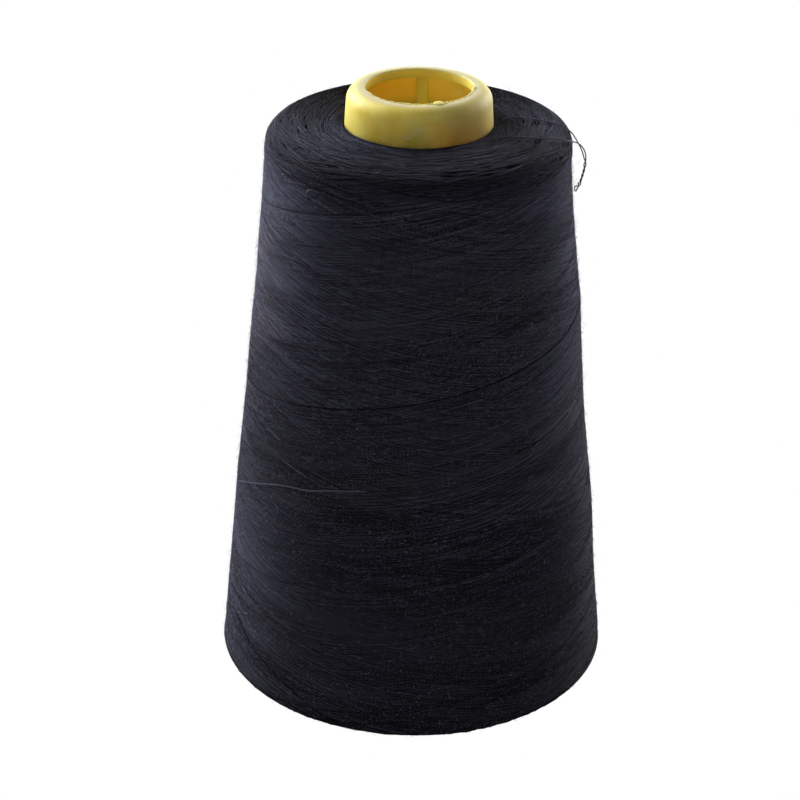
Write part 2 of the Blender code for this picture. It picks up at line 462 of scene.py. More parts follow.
def nodeOutline(name):      # (radius, height) from inside the underside, up the outer side, to the core
    corners = np.array([v.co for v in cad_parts[name].data.vertices]) / mm
    turns = np.arctan2(corners[:, 1], corners[:, 0])
    start = turns[np.argmax(np.hypot(corners[:, 0], corners[:, 1]))]
    near = corners[np.abs(turns - start) < 0.002]
    section = np.column_stack([np.hypot(near[:, 0], near[:, 1]), near[:, 2]])
    section = np.unique(np.round(section, 3), axis=0)
    middle = (section.min(axis=0) + section.max(axis=0)) / 2
    first = section[np.argmin(section[:, 1] * 3 + section[:, 0])]
    angles = np.arctan2(section[:, 1] - middle[1], section[:, 0] - middle[0])
    begin = math.atan2(first[1] - middle[1], first[0] - middle[0])
    return section[np.argsort((angles - begin + 0.0001) % math.tau)]


def withoutDoubles(points, gap):      # drops points that lie closer than the gap to the one before
    steps = np.linalg.norm(np.diff(points, axis=0), axis=1)
    return points[np.concatenate([[True], steps > gap])]


outline = withoutDoubles(smoothCurve(nodeOutline("wound_thread"), 5), 0.001)
outlineAlong = alongPath(outline)
outlineLean = np.gradient(outline, axis=0)
outlineLean /= np.linalg.norm(outlineLean, axis=1)[:, None]
outlineNormal = np.column_stack([outlineLean[:, 1], -outlineLean[:, 0]])
middleHeight = 80.0
wall = slice(10, -40)      # the part of the outline where the height only rises
wallZero = np.interp(middleHeight, outline[wall, 1], outlineAlong[wall]) - middleHeight


def alongAt(height):      # place along the outline of a height on the wall
    return wallZero + height


def swell(turn, height):
    lift = 0.07 * np.sin(np.radians(turn * 3 + height * 5))
    lift = lift + 0.06 * np.sin(np.radians(turn * 5 - height * 9 + 70))
    for turnAt, heightAt, reachTurn, reachHeight, size in swells:
        away = (turn - turnAt + 180) % 360 - 180
        lift = lift + size * np.exp(-(away / reachTurn) ** 2 - ((height - heightAt) / reachHeight) ** 2)
    return lift


def onSurface(along, turn, lift):      # mm along the outline, degrees from the front, mm off the surface
    radius = np.interp(along, outlineAlong, outline[:, 0])
    height = np.interp(along, outlineAlong, outline[:, 1])
    outR = np.interp(along, outlineAlong, outlineNormal[:, 0])
    outZ = np.interp(along, outlineAlong, outlineNormal[:, 1])
    onWall = smoothStep(0.3, 0.9, outR)
    lift = lift + swell(turn, height) * onWall
    radius = radius + outR * lift
    height = height + outZ * lift
    angle = np.radians(turn)
    return np.column_stack([radius * np.sin(angle), -radius * np.cos(angle), height]) * mm


def ribbonAge(place, edges, direction):      # how far behind the newest edge a place lies, 0 to 1
    gap = winding["pitch"] / len(edges)
    away = np.min([((edge - place) * direction) % winding["pitch"] for edge in edges], axis=0)
    return away / gap


def newestOnTop(place, turn):      # 1 where the rising strands are on top, 0 where the falling ones are
    rising = ribbonAge(place - winding["rise"] * turn, risingEdges, 1)
    falling = ribbonAge(place + winding["rise"] * turn, fallingEdges, -1)
    return smoothStep(-0.05, 0.05, falling - rising)


def slowNoise(turn, seed, wave):      # smooth wander along a strand, about -1 to 1
    first, second, third = np.random.default_rng(seed).uniform(0, 360, 3)
    phase = turn * 360 / wave
    wander = np.sin(np.radians(phase + first))
    wander = wander + np.sin(np.radians(phase / 1.63 + second))
    wander = wander + np.sin(np.radians(phase / 0.57 + third))
    return wander / 2.2


def wallRuns(direction):      # 1 rising, -1 falling
    count = int(winding["pitch"] / winding["spacing"])
    gap = winding["pitch"] / count
    lowEnd, *lowSpread = winding["lowEnd"]
    highEnd, *highSpread = winding["highEnd"]
    overrun = winding["overrun"]
    bend = winding["turnBack"]
    lowLift, addedLift, endDive = winding["lift"]
    runs = []
    for index in range(count):
        offset = index * gap + rng.normal(0, 0.05)
        low = lowEnd + rng.uniform(*lowSpread)
        high = highEnd + rng.uniform(*highSpread)
        steps = int((high - low + 2 * overrun) / winding["rise"] / winding["pointStep"])
        straight = np.linspace(low - overrun, high + overrun, steps)
        turn = (straight - offset) / winding["rise"] * direction
        place = high - np.sqrt((high - straight) ** 2 + bend ** 2)
        place = low + np.sqrt((place - low) ** 2 + bend ** 2)
        top = newestOnTop(place, turn)
        if direction < 0:
            top = 1 - top
        seed = index * 2 + (direction > 0)
        level = 0.5 + winding["newerShare"] * (top - 0.5)
        level = level + winding["wanderShare"] * slowNoise(turn, seed, winding["wanderWave"])
        level = np.clip(level + rng.normal(0, winding["chanceShare"]), 0, 1)
        sway = 0.06 * np.sin(np.radians(turn * 1.7 + place * 6))
        sway = sway + 0.04 * np.sin(np.radians(turn * 4.1 + offset * 40))
        sway = sway + 0.08 * slowNoise(turn, seed + 500, 60)
        dive = smoothStep(high - 0.2, high + overrun, straight)
        dive = dive + smoothStep(low + 0.2, low - overrun, straight)
        lift = lowLift + addedLift * level - endDive * dive
        points = onSurface(alongAt(place + sway), turn, lift)
        shown = level > winding["shownAbove"]
        shown = shown | np.roll(shown, 1) | np.roll(shown, -1)
        edges = np.flatnonzero(np.diff(np.concatenate([[0], shown.astype(int), [0]])))
        for begin, end in zip(edges[::2], edges[1::2]):
            if end - begin < 3:
                continue
            radii = np.full(end - begin, winding["strandWidth"]) * rng.uniform(0.9, 1.1)
            runs.append((points[begin:end], radii))
    return runs


def nearestAlong(radius, height):
    away = np.abs(radius - outline[:, 0]) + np.abs(height - outline[:, 1])
    return outlineAlong[np.argmin(away)]


arcs = {
    # how many, mm between points, slopes
    "crown": (1900, 1.9, (0.02, 0.20)),
    "lower": (480, 2.6, (0.02, 0.10)),
    "lowerHeights": (-5, 4),
    "halfLength": (6, 16),       # mm
    "droop": 0.004,
    "lift": (-0.14, 0.08),       # mm
    "bow": 0.12,
    "endDive": 0.35,
    "width": 0.38 * mm,
    "crownRadii": (19.5, 39.5),
    "pastCrown": 1.16,           # the share of the arcs that goes on to the shoulder
    "shoulder": (38.5, 153.5, 7),      # mm: radius where it starts, its low edge, its width
}


def arcRuns(places, gap, slopes):      # short turns that cross at small angles
    runs = []
    for along in places:
        half = rng.uniform(*arcs["halfLength"])
        slope = rng.choice((-1, 1)) * rng.uniform(*slopes)
        across = np.linspace(-half, half, max(5, int(2 * half / gap)))
        place = along + slope * across - arcs["droop"] * across ** 2
        place = np.clip(place, 0, outlineAlong[-1] - 0.05)
        here = np.interp(place, outlineAlong, outline[:, 0])
        turn = rng.uniform(0, 360) + np.degrees(across / here)
        side = np.abs(across / half)
        lift = rng.uniform(*arcs["lift"]) + arcs["bow"] * (1 - side ** 2) - arcs["endDive"] * side ** 6
        runs.append((onSurface(place, turn, lift), np.full(len(across), arcs["width"])))
    return runs


def crownPlaces(count):
    innerR, outerR = arcs["crownRadii"]
    shoulderR, lowEdge, reach = arcs["shoulder"]
    spread = rng.random(count) * (outerR ** 2 - innerR ** 2) * arcs["pastCrown"]
    radius = np.sqrt(innerR ** 2 + spread)
    crown = slice(-60, None)      # the last part of the outline, where the radius only shrinks
    onCrown = np.interp(-radius, -outline[crown, 0], outlineAlong[crown])
    onShoulder = alongAt(lowEdge) + rng.uniform(0, reach, count)
    return np.where(radius < shoulderR, onCrown, onShoulder)


def strayRuns(lines, lift, width):      # single turns that stand out, as (turn, height) points
    runs = []
    for line in lines:
        points = smoothCurve(line, 4)
        turn, height = points[:, 0], points[:, 1]
        ends = np.minimum(np.arange(len(turn)), np.arange(len(turn))[::-1])
        dive = strays["endDive"] * (1 - smoothStep(0, 3, ends))
        runs.append((onSurface(alongAt(height), turn, lift - dive), np.full(len(turn), width)))
    return runs


def lintRuns():
    runs = []
    for turn, radius, height, length, heading, bow in lint["placed"]:
        along = nearestAlong(radius, height)
        across = np.linspace(-0.5, 0.5, 7) * length
        swing = math.radians(heading)
        side = bow * (1 - (2 * across / length) ** 2)
        place = along + across * math.sin(swing) + side * math.cos(swing)
        turns = turn + np.degrees((across * math.cos(swing) - side * math.sin(swing)) / radius)
        points = onSurface(place, turns, np.full(7, lint["placedLift"]))
        runs.append((points, np.full(7, lint["width"])))
    for _ in range(lint["scattered"]):
        along = alongAt(rng.uniform(*lint["heights"]))
        length = rng.uniform(*lint["lengths"])
        swing = rng.uniform(0, math.pi)
        across = np.linspace(-0.5, 0.5, 4) * length
        place = along + across * math.sin(swing)
        turns = rng.uniform(0, 360) + np.degrees(across * math.cos(swing) / lint["meanRadius"])
        points = onSurface(place, turns, np.full(4, lint["scatteredLift"]))
        runs.append((points, np.full(4, lint["width"] * 0.7)))
    return runs


def turnRings(name, rings, steps):      # a closed turned piece, ring by ring round its section
    startR, startZ = rings[0]
    bpy.ops.mesh.primitive_circle_add(vertices=steps, radius=startR * mm, location=(0, 0, startZ * mm))
    piece = bpy.context.object
    piece.name = name
    bpy.ops.object.transform_apply(location=True)
    bpy.ops.object.mode_set(mode="EDIT")
    bpy.ops.mesh.select_all(action="SELECT")
    rings = [tuple(ring) for ring in rings] + [tuple(rings[0])]
    for (wasR, wasZ), (newR, newZ) in zip(rings, rings[1:]):
        bpy.ops.mesh.extrude_region_move(TRANSFORM_OT_translate={"value": (0, 0, (newZ - wasZ) * mm)})
        bpy.ops.transform.resize(value=(newR / wasR, newR / wasR, 1), center_override=(0, 0, newZ * mm))
    bpy.ops.mesh.select_all(action="SELECT")
    bpy.ops.mesh.remove_doubles(threshold=0.00001)
    bpy.ops.mesh.normals_make_consistent(inside=False)
    bpy.ops.object.mode_set(mode="OBJECT")
    bpy.ops.object.shade_smooth()
    return piece


def makeBase():      # the solid body below the outer turns
    base = withoutDoubles(smoothCurve(nodeOutline("wound_thread"), 3), 0.05)
    piece = turnRings("wound_body", base, winding["bodySteps"])
    corners = np.array([v.co for v in piece.data.vertices]) / mm
    radius, height = np.hypot(corners[:, 0], corners[:, 1]), corners[:, 2]
    turn = np.degrees(np.arctan2(corners[:, 0], -corners[:, 1]))
    away = np.abs(radius[:, None] - outline[None, :, 0]) + np.abs(height[:, None] - outline[None, :, 1])
    near = np.argmin(away, axis=1)
    moved = onSurface(outlineAlong[near], turn, np.full(len(radius), -winding["bodyDepth"]))
    piece.data.vertices.foreach_set("co", moved.astype(np.float32).ravel())
    piece.data.update()
    print("wound_body", len(piece.data.polygons), "faces")
    return piece


def fuzzRuns(count, meanLength, rise, width, places=None):      # fibre ends that stand off the winding
    stages = np.array([0.0, 0.5, 1.0]) if meanLength < 1.5 else np.array([0.0, 0.36, 0.72, 1.0])
    if places is None:      # shares of the fibres that start below each place, from the foot to the core
        ladder = (2.0, alongAt(3.0), alongAt(85.0), alongAt(154.0), outlineAlong[-1] - 0.3)
        places = np.interp(rng.random(count), (0, 0.07, 0.40, 0.88, 1), ladder)
    turn = rng.uniform(0, 360, count)
    length = meanLength * rng.gamma(4.0, 0.25, count)
    height = length * rng.uniform(*rise, count)
    way = rng.normal(0, 0.9, count)
    side = rng.choice((-1, 1), count)
    crook = rng.normal(0, 0.35, count)
    arch = rng.uniform(1.2, 2.4, count)
    here = np.interp(places, outlineAlong, outline[:, 0])
    bend = way[:, None] + crook[:, None] * stages * 2
    steps = np.diff(stages, prepend=0) * length[:, None]
    across = np.cumsum(steps * np.cos(bend), axis=1) * side[:, None]
    up = np.cumsum(steps * np.sin(bend), axis=1)
    lift = -0.12 + height[:, None] * np.sin(stages * arch[:, None])
    allPlaces = np.clip(places[:, None] + up, 0, outlineAlong[-1])
    turns = turn[:, None] + np.degrees(across / here[:, None])
    points = onSurface(allPlaces.ravel(), turns.ravel(), lift.ravel()).reshape(count, len(stages), 3)
    return [(p, np.full(len(stages), width)) for p in points]


def makePlyGroup():      # twist lines of the plies, as a height, from the place along a strand
    group = bpy.data.node_groups.new("plyTwist", "ShaderNodeTree")
    group.interface.new_socket("Pitch", in_out="INPUT", socket_type="NodeSocketFloat")
    group.interface.new_socket("Height", in_out="OUTPUT", socket_type="NodeSocketFloat")
    start = group.nodes.new("NodeGroupInput")
    end = group.nodes.new("NodeGroupOutput")
    place = group.nodes.new("ShaderNodeTexCoord")
    flat = addNode(group, "ShaderNodeVectorMath", operation="MULTIPLY")
    flat.inputs[1].default_value = (1, 1, 0)
    group.links.new(place.outputs["Object"], flat.inputs[0])
    radius = addNode(group, "ShaderNodeVectorMath", operation="LENGTH")
    group.links.new(flat.outputs["Vector"], radius.inputs[0])
    split = addNode(group, "ShaderNodeSeparateXYZ")
    group.links.new(place.outputs["Object"], split.inputs[0])
    across = calculate(group, "SUBTRACT", split.outputs["Z"], radius.outputs["Value"])
    along = addNode(group, "ShaderNodeAttribute", attribute_name="along")
    total = calculate(group, "ADD", across, along.outputs["Fac"])
    phase = calculate(group, "DIVIDE", total, start.outputs["Pitch"])
    wave = calculate(group, "SINE", calculate(group, "MULTIPLY", phase, math.tau))
    group.links.new(wave, end.inputs["Height"])
    return group


threadLook = {
    "navy": (0.0080, 0.0074, 0.0105),
    "bodyNavy": (0.004, 0.004, 0.005),
    # painted highlight: lighter colour of the proud stray turns, standing in for the light they catch
    "pale": (0.022, 0.021, 0.027),
    # painted shadow: near-black colour of the lines laid where gaps along ribbon edges lie in shade
    "shadowLines": (0.004, 0.0037, 0.005),
    # fibre ends: real loose fibres, whose pale colour partly stands in for light let through thin fibres
    "fibre": (0.25, 0.25, 0.34),
    "fibreTint": (0.80, 0.80, 1.0),
    "hair": (0.020, 0.019, 0.028),
    "lint": (0.30, 0.30, 0.33),
    "cool": (0.68, 0.69, 1.00),      # tints of the fuzzy glow
    "warm": (0.84, 0.76, 0.80),
    "patchScale": 26.0,
    "patchFrom": (0.52, 0.80),       # noise level where the warm tint starts and is full
    "plyPitch": 0.55 * mm,
    "plyDepth": 0.06 * mm,
    "toneShare": (0.6, 1.4),         # how far single strands differ
    "sheen": (0.07, 0.48),           # in the grooves and on the crests of the plies
    "sheenRoughness": 0.22,
    "fuzzierFrom": (0.045, 0.150),   # the upper part has more fuzz
    "fuzzier": (0.75, 1.90),
    "crownFrom": (0.1535, 0.1600),
    "crownShare": (1.0, 0.36),
}


def plainThread(name, color, sheen, tint):
    material, tree, shader = newMaterial(name)
    shader.inputs["Base Color"].default_value = (*color, 1)
    shader.inputs["Roughness"].default_value = 0.75
    shader.inputs["Specular IOR Level"].default_value = 0.05
    shader.inputs["Sheen Weight"].default_value = sheen
    shader.inputs["Sheen Roughness"].default_value = threadLook["sheenRoughness"]
    shader.inputs["Sheen Tint"].default_value = (*tint, 1)
    return material, tree, shader


def makeThreadMaterial(plyGroup):
    material, tree, shader = plainThread("navyThread", threadLook["navy"], 0.3, threadLook["cool"])
    ply = addNode(tree, "ShaderNodeGroup")
    ply.node_tree = plyGroup
    ply.inputs["Pitch"].default_value = threadLook["plyPitch"]
    bump = addNode(tree, "ShaderNodeBump", Strength=1.0, Distance=threadLook["plyDepth"])
    tree.links.new(ply.outputs["Height"], bump.inputs["Height"])
    tree.links.new(bump.outputs["Normal"], shader.inputs["Normal"])
    crest = mapRange(tree, ply.outputs["Height"], -1.0, 1.0, *threadLook["sheen"], "LINEAR")
    tone = addNode(tree, "ShaderNodeAttribute", attribute_name="tone")
    strength = mapRange(tree, tone.outputs["Fac"], 0.0, 1.0, *threadLook["toneShare"], "LINEAR")
    place = addNode(tree, "ShaderNodeTexCoord").outputs["Object"]
    split = addNode(tree, "ShaderNodeSeparateXYZ")
    tree.links.new(place, split.inputs[0])
    upper = mapRange(tree, split.outputs["Z"], *threadLook["fuzzierFrom"], *threadLook["fuzzier"])
    onCrown = mapRange(tree, split.outputs["Z"], *threadLook["crownFrom"], *threadLook["crownShare"])
    strength = calculate(tree, "MULTIPLY", strength, calculate(tree, "MULTIPLY", upper, onCrown))
    tree.links.new(calculate(tree, "MULTIPLY", crest, strength), shader.inputs["Sheen Weight"])
    patch = mapRange(tree, noiseAt(tree, place, threadLook["patchScale"], 3.0), *threadLook["patchFrom"])
    tint = mixValues(tree, patch, threadLook["cool"], threadLook["warm"])
    tree.links.new(tint, shader.inputs["Sheen Tint"])
    return material


fuzz = {
    # piece: how many, mean length in mm, rise as a share of the length, width, material
    "fuzz_short": (30000, 0.36, (0.10, 0.55), 0.078 * mm, "pale"),
    "fuzz_tall": (28000, 0.72, (0.35, 0.90), 0.066 * mm, "navy"),
    "fibres": (700, 1.7, (0.15, 0.70), 0.034 * mm, "pale"),
}
contact = {      # hairs where the winding meets the core
    "count": 1600,
    "reach": 0.9,                # mm out from the core
    "hairs": (1.0, (0.3, 1.0), 0.05 * mm),      # mean length, rise and width, as above
}
strays = {
    # single turns as (turn in degrees, height in mm) points
    # proud single turns drawn in a lighter colour, a painted highlight for the light they catch
    "pale": (
        ((-82, 57.7), (-71, 62.3), (-63, 65.3), (-52, 69.3), (-43, 71.6), (-36, 72.6), (-26, 75.0),
         (-12, 77.0)),
        ((-63, 132.7), (-52, 133.4), (-41, 133.7)),
        ((-59, 142.4), (-54, 142.3), (-49, 141.9)),
        ((-66, 105.9), (-60, 105.7), (-53, 105.6)),
        ((53, 56.1), (61, 54.4), (70, 52.8)),
        ((24, 78.6), (33, 77.1), (42, 75.8)),
        ((58, 72.5), (65, 71.6), (72, 70.6)),
        ((42, 90.9), (57, 89.5), (72, 88.2)),
    ),
    # painted shadow lines: near-black turns laid where gaps along ribbon edges lie in shade
    "shadowLines": (
        ((-78, 21.7), (-67, 21.3), (-58, 18.3), (-50, 16.3), (-38, 12.7), (-28, 9.0), (-24, 8.0),
         (-18, 7.3)),
        ((31, 83.7), (41, 84.9), (57, 85.7)),
        ((-54, 136.4), (-40, 138.8), (-24, 140.8)),
        ((-44, 117.3), (-35, 118.8), (-25, 120.0)),
    ),
    "seamStart": 49.7,           # height in mm where the long painted shadow line along a ribbon edge passes the front
    "seamReach": (7.0, 154.0),
    "paleLift": 0.20,            # mm off the surface
    "shadowLineLift": -0.03,
    "endDive": 0.35,
    "paleWidth": 0.27 * mm,
    "shadowLineWidth": 0.33 * mm,
}
lint = {
    "placed": (
        # turn in degrees, radius, height and length in mm, heading in degrees, bow in mm
        (-31, 36.0, 160.5, 1.3, 60, 0.1), (-53, 38.8, 158.8, 0.6, 20, 0.0),
        (-43, 40.0, 151.0, 2.4, 40, 0.5), (-69, 23.2, 161.0, 0.6, 0, 0.0),
        (-78, 40.6, 140.0, 0.7, 30, 0.0), (0, 23.5, 161.0, 0.7, 10, 0.0),
    ),
    "placedLift": 0.16,
    "scattered": 90,
    "scatteredLift": 0.12,
    "heights": (6, 150),         # of the scattered bits, in mm
    "lengths": (0.3, 0.9),
    "meanRadius": 45,
    "width": 0.11 * mm,
}


def makeWinding():
    thread = makeThreadMaterial(makePlyGroup())
    fibres = {
        # pale fibres: real fibres, their paleness partly painted light let through thin fibres
        "pale": plainThread("paleFibre", threadLook["fibre"], 1.0, threadLook["fibreTint"])[0],
        "navy": plainThread("navyFibre", threadLook["hair"], 1.0, threadLook["cool"])[0],
    }
    bodyNavy = plainThread("navyBody", threadLook["bodyNavy"], 0.3, threadLook["cool"])[0]
    # painted highlight: lighter material for the proud stray turns
    paleNavy = plainThread("paleNavy", threadLook["pale"], 0.7, threadLook["cool"])[0]
    # painted shadow: near-black material for the lines along ribbon edges
    shadowLineNavy = plainThread("shadowLineNavy", threadLook["shadowLines"], 0.06, threadLook["cool"])[0]
    paleLint = plainThread("paleLint", threadLook["lint"], 0.5, (1, 1, 1))[0]
    body = makeBase()
    body.data.materials.append(bodyNavy)
    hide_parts("wound_thread")
    pieces = [body]
    rising, falling = wallRuns(1), wallRuns(-1)
    count, *arcShape = arcs["crown"]
    crown = arcRuns(crownPlaces(count), *arcShape)
    count, *arcShape = arcs["lower"]
    lowEdge, highEdge = arcs["lowerHeights"]
    lower = arcRuns(rng.uniform(alongAt(lowEdge), alongAt(highEdge), count), *arcShape)
    # the long painted shadow line along a ribbon edge, a full helix up the wall
    seamHeight = np.arange(*strays["seamReach"], winding["rise"] * winding["pointStep"])
    ribbonEdgeShadow = np.column_stack([(seamHeight - strays["seamStart"]) / winding["rise"], seamHeight])
    pale = strayRuns(strays["pale"], strays["paleLift"], strays["paleWidth"])
    shadowLines = strayRuns(strays["shadowLines"] + (ribbonEdgeShadow,), strays["shadowLineLift"], strays["shadowLineWidth"])
    count = contact["count"]
    roots = np.full(count, outlineAlong[-1]) - rng.uniform(0, contact["reach"], count)
    wound = (
        ("rising_turns_a", rising[::2], thread), ("rising_turns_b", rising[1::2], thread),
        ("falling_turns_a", falling[::2], thread), ("falling_turns_b", falling[1::2], thread),
        ("crown_turns", crown, thread), ("lower_turns", lower, thread),
        ("pale_turns", pale, paleNavy), ("shadow_line_turns", shadowLines, shadowLineNavy),
        *((name, fuzzRuns(*values[:-1]), fibres[values[-1]]) for name, values in fuzz.items()),
        ("contact_fuzz", fuzzRuns(count, *contact["hairs"], roots), bodyNavy),
        ("lint", lintRuns(), paleLint),
    )
    for name, runs, material in wound:
        piece = windStrands(name, runs)
        piece.data.materials.append(material)
        pieces.append(piece)
    for piece in pieces:
        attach(piece, "root")


makeWinding()

core = {
    # mm and degrees, as in the CAD core
    "noseRadius": 18.8, "noseRounding": 3.6, "lean": math.tan(math.radians(3.85)),
    "bore": 13.9, "boreEdge": 0.5, "lip": 2.6, "lipFall": 0.5,
    "wall": 1.6, "footWall": 2.4, "foot": 5.0,
    "ribWidth": 2.8, "ribDepth": 1.6, "ribRoot": 0.8, "ribFoot": 8.0, "ribTurn": -2.5, "ribs": 4,
    "nubRadius": 1.45, "nubHeight": 1.7, "nubSeat": 13.8, "nubTurn": -69.0, "nubStandsOut": 0.22,
    "steps": 128,
    "outerHeights": (0.5, 5, 40, 80, 120, 150, 158, 162),
    "innerHeights": (160, 150, 120, 80, 40),
}
plastic = {
    "yellow": (0.66, 0.56, 0.105),
    "deepYellow": (0.60, 0.47, 0.055),
    "amber": (0.65, 0.49, 0.050),        # inside the bore
    "rightDarkening": (0.29, 0.235, 0.090),       # darker and browner towards the right of the front
    "rightDarkeningShare": 0.62,
    # colour of the real scuff, and of the painted highlight inside the bore
    "scuffAndHighlightColor": (0.62, 0.55, 0.30),
    "edge": (0.45, 0.42, 0.24),          # painted highlight: paler top face of the nose, standing in for the light it catches
    "topHighlightShare": 0.9,
    "speck": (0.08, 0.06, 0.03),
    "glow": (0.035, 0.14),               # painted glow: emission standing in for light that soaks through the plastic, weaker at the left and stronger at the right
    "paintedGlowColor": (0.95, 0.78, 0.11),
    "scuffAndHighlight": (
        # place, turn in degrees, size, strength: a scuff at the front, and inside the bore a pale blotch
        # that is a painted highlight where light shines through a thinner part
        ((-0.0015, -0.0188, 0.1640), -34, (0.0048, 0.02, 0.0012), 0.55),
        ((0.0099, 0.0139, 0.1635), 0, (0.0020, 0.004, 0.0014), 0.60),
    ),
}
flash = {
    "turns": (-165, 4, 1.6),             # degrees: from, to, step
    "ragged": 0.09,                      # mm
    "width": (0.36, 0.12),               # mm: mean and spread
    "curlWidth": 0.30 * mm,
    # x, y, z in mm of a curl of plastic that stands off the lip
    "curl": ((13.7, -2.6, 169.9), (13.95, -1.2, 170.15), (14.0, 0.1, 170.3), (13.6, 0.7, 170.15),
             (13.3, 0.2, 169.75)),
}


def coreRadius(height, top):
    return core["noseRadius"] + (top - core["noseRounding"] - height) * core["lean"]


def arcPoints(center, radius, start, stop, steps):
    turns = np.radians(np.linspace(start, stop, steps))
    return [(center[0] + radius * math.cos(t), center[1] + radius * math.sin(t)) for t in turns]


def coreRings(top):      # (radius, height) round the core's section
    noseCenter = (core["noseRadius"] - core["noseRounding"], top - core["noseRounding"])
    edgeCenter = (core["bore"] + core["boreEdge"], top - core["boreEdge"])
    footR, footInR = coreRadius(0, top), coreRadius(0, top) - core["footWall"]
    bore, lipEnd = core["bore"], top - core["lip"]
    seat, seatHeight = coreRadius(lipEnd, top) - core["wall"], lipEnd - core["lipFall"]
    innerHeights = (*core["innerHeights"], core["foot"] + 0.8)
    return [
        (footInR, 0.4), (footInR + 0.4, 0.0), (footR - 0.5, 0.0),
        *((coreRadius(h, top), h) for h in core["outerHeights"]),
        *arcPoints(noseCenter, core["noseRounding"], 4, 90, 13),
        *arcPoints(edgeCenter, core["boreEdge"], 90, 180, 6),
        # down the bore, round the lip's lower edge and out to the wall
        (bore, top - 1.2), (bore, lipEnd + 0.3), (bore + 0.08, lipEnd + 0.08), (bore + 0.3, lipEnd - 0.04),
        (seat - 0.3, seatHeight), (seat, seatHeight - 0.3),
        *((coreRadius(h, top) - core["wall"], h) for h in innerHeights),
        (coreRadius(core["foot"], top) - core["footWall"], core["foot"]),
    ]


def bevelled(piece, width, segments):
    pick(piece)
    bevel = piece.modifiers.new("edges", "BEVEL")
    bevel.width = width
    bevel.segments = segments
    bevel.limit_method = "ANGLE"
    bpy.ops.object.modifier_apply(modifier="edges")
    bpy.ops.object.shade_smooth()


def addRibs(top):
    upper = top - core["lip"]
    middle = (upper + core["ribFoot"]) / 2
    seat = coreRadius(middle, top) - core["wall"] + (core["ribRoot"] - core["ribDepth"]) / 2
    tall = (upper - core["ribFoot"]) / math.cos(math.atan(core["lean"]))
    deselectAll()
    bpy.ops.mesh.primitive_cube_add(size=1, location=(seat * mm, 0, middle * mm))
    rib = bpy.context.object
    rib.scale = ((core["ribDepth"] + core["ribRoot"]) * mm, core["ribWidth"] * mm, tall * mm)
    rib.rotation_euler = (0, -math.atan(core["lean"]), 0)
    bpy.ops.object.transform_apply(location=True, rotation=True, scale=True)
    bevelled(rib, 0.35 * mm, 2)
    ribs = []
    for index in range(core["ribs"]):
        copy = rib.copy()
        copy.data = rib.data.copy()
        bpy.context.scene.collection.objects.link(copy)
        copy.rotation_euler = (0, 0, math.radians(360 * index / core["ribs"] + core["ribTurn"]))
        pick(copy)
        bpy.ops.object.transform_apply(rotation=True)
        ribs.append(copy)
    bpy.data.objects.remove(rib)
    return ribs


def nubPlace():
    turn = math.radians(core["nubTurn"])
    return core["nubSeat"] * math.cos(turn), core["nubSeat"] * math.sin(turn)


def addNub(top):
    place = (*nubPlace(), top + core["nubStandsOut"] - core["nubHeight"] / 2)
    deselectAll()
    bpy.ops.mesh.primitive_cylinder_add(
        vertices=28, radius=core["nubRadius"] * mm, depth=core["nubHeight"] * mm,
        location=tuple(c * mm for c in place))
    nub = bpy.context.object
    bpy.ops.object.transform_apply(location=True)
    bevelled(nub, 0.28 * mm, 3)
    return nub


def addFlash(top):      # ragged skin of plastic left along the front of the bore
    turn = np.radians(np.arange(*flash["turns"]))
    ragged = rng.normal(0, flash["ragged"], (2, len(turn)))
    reach = core["bore"] + 0.10 + ragged[0]
    height = top - 0.03 + ragged[1] * 0.8
    line = np.column_stack([reach * np.cos(turn), reach * np.sin(turn), height]) * mm
    width = np.clip(rng.normal(*flash["width"], len(turn)), 0.10, 0.7) * mm
    curled = evenPoints(smoothCurve(flash["curl"], 6) * mm, 0.15 * mm)
    runs = [(line, width), (curled, np.full(len(curled), flash["curlWidth"]))]
    return windStrands("flash", runs, sides=6)


